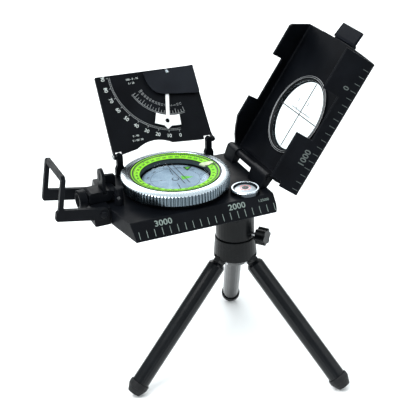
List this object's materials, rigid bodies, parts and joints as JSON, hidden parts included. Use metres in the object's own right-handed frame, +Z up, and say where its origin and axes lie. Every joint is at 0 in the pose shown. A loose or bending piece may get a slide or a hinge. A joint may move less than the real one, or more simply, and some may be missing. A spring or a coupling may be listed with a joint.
{
  "type": "geology compass on mini tripod",
  "caption": "Folding sighting compass with rotating bezel, clinometer with pendulum, windowed lid, eyepiece and thumb loop, on a ball-head mini tripod.",
  "frame": {"origin": "on the floor under the centre of the bounding box, with the tripod open and the lid, clinometer and eyepiece as stored", "axes": "+Z up, +X from the eyepiece end to the lid hinge along the ruler edge, +Y away from the ruler edge"},
  "size_m": [0.1679, 0.1174, 0.184],
  "materials": {
    "black_paint": "satin black paint on die-cast metal",
    "gloss_black": "semi-gloss black",
    "grey_paint": "satin dark grey",
    "bright_aluminium": "bright turned",
    "steel_pins": "plain",
    "foot_rubber": "smooth",
    "lime_ring": "luminous lime",
    "white_pendulum": "white paint",
    "clear_glass": "clear",
    "dial_card": "silver blue print"
  },
  "bodies": {
    "tripod_hub": {"tripod_hub": "gloss_black", "leg_pin_1": "steel_pins", "leg_pin_2": "steel_pins", "leg_pin_3": "steel_pins"},
    "leg_1": {"leg_1": "gloss_black", "foot_cap_1": "foot_rubber"},
    "leg_2": {"leg_2": "gloss_black", "foot_cap_2": "foot_rubber"},
    "leg_3": {"leg_3": "gloss_black", "foot_cap_3": "foot_rubber"},
    "ball_head": {"ball_housing": "gloss_black"},
    "lock_knob": {"lock_knob": "gloss_black", "lock_screw": "steel_pins"},
    "compass_base": {"base_plate": "black_paint", "end_block": "black_paint", "capsule_cup": "black_paint", "card_pivot": "steel_pins", "level_collar": "bright_aluminium", "level_vial": "clear_glass", "lid_lug_front": "black_paint", "lid_lug_rear": "black_paint", "lid_pin": "steel_pins", "clino_post_left": "black_paint", "clino_post_right": "black_paint", "clino_pin_left": "steel_pins", "clino_pin_right": "steel_pins", "loop_pin_front": "steel_pins", "loop_pin_rear": "steel_pins", "eyepiece_post": "black_paint", "eyepiece_cheek": "black_paint", "eyepiece_pin": "steel_pins", "ball_stud": "gloss_black", "camera_screw": "steel_pins"},
    "bezel": {"bezel_ring": "bright_aluminium", "graduated_ring": "lime_ring", "dial_glass": "clear_glass"},
    "compass_card": {"compass_card": "dial_card"},
    "lid": {"lid_shell": "black_paint", "window_ring": "bright_aluminium", "window_glass": "clear_glass", "thumb_tab": "grey_paint"},
    "clinometer": {"clino_plate": "black_paint", "clino_cover": "grey_paint", "pendulum_pin": "bright_aluminium"},
    "pendulum": {"pendulum": "white_pendulum"},
    "thumb_loop": {"thumb_loop": "black_paint"},
    "eyepiece": {"eyepiece_housing": "black_paint", "eyepiece_barrel": "black_paint", "eyepiece_lens": "clear_glass", "sight_leaf": "grey_paint"}
  },
  "joints": [
    {"name": "leg_1_fold", "type": "hinge", "parent": "tripod_hub", "child": "leg_1", "pos_m": [0.01909, 0.00404, 0.067], "axis": [-0.9265, 0.3762, 0], "range_deg": [0, 40]},
    {"name": "leg_2_fold", "type": "hinge", "parent": "tripod_hub", "child": "leg_2", "pos_m": [0.00679, -0.00554, 0.067], "axis": [0.1374, -0.9905, 0], "range_deg": [0, 40]},
    {"name": "leg_3_fold", "type": "hinge", "parent": "tripod_hub", "child": "leg_3", "pos_m": [0.02123, -0.0114, 0.067], "axis": [0.7891, 0.6143, 0], "range_deg": [0, 40]},
    {"name": "head_pan", "type": "hinge", "parent": "tripod_hub", "child": "ball_head", "pos_m": [0.0157, -0.0043, 0.0894], "axis": [0, 0, 1], "continuous": true},
    {"name": "head_tilt", "type": "hinge", "parent": "ball_head", "child": "compass_base", "pos_m": [0.0157, -0.0043, 0.0894], "axis": [0, 1, 0], "range_deg": [-20, 20]},
    {"name": "knob_turn", "type": "hinge", "parent": "ball_head", "child": "lock_knob", "pos_m": [0.02204, -0.01242, 0.0817], "axis": [0.6157, -0.788, 0], "continuous": true},
    {"name": "bezel_turn", "type": "hinge", "parent": "compass_base", "child": "bezel", "pos_m": [-0.01726, -0.0043, 0.1163], "axis": [0, 0, 1], "continuous": true},
    {"name": "card_turn", "type": "hinge", "parent": "compass_base", "child": "compass_card", "pos_m": [-0.01726, -0.0043, 0.1179], "axis": [0, 0, 1], "continuous": true},
    {"name": "lid_fold", "type": "hinge", "parent": "compass_base", "child": "lid", "pos_m": [0.0247, -0.0043, 0.1189], "axis": [0, -1, 0], "range_deg": [-56, 48]},
    {"name": "clinometer_fold", "type": "hinge", "parent": "compass_base", "child": "clinometer", "pos_m": [-0.0131, 0.0203, 0.12515], "axis": [1, 0, 0], "range_deg": [-30, 126]},
    {"name": "pendulum_swing", "type": "hinge", "parent": "clinometer", "child": "pendulum", "pos_m": [-0.0013, 0.04463, 0.1564], "axis": [0, -0.7891, 0.6143], "range_deg": [-76, 25]},
    {"name": "thumb_loop_swing", "type": "hinge", "parent": "compass_base", "child": "thumb_loop", "pos_m": [-0.0599, -0.0025, 0.1133], "axis": [0, 1, 0], "range_deg": [-80, 80]},
    {"name": "eyepiece_lift", "type": "hinge", "parent": "compass_base", "child": "eyepiece", "pos_m": [-0.0504, -0.003, 0.1181], "axis": [0, 1, 0], "range_deg": [0, 50]}
  ]
}
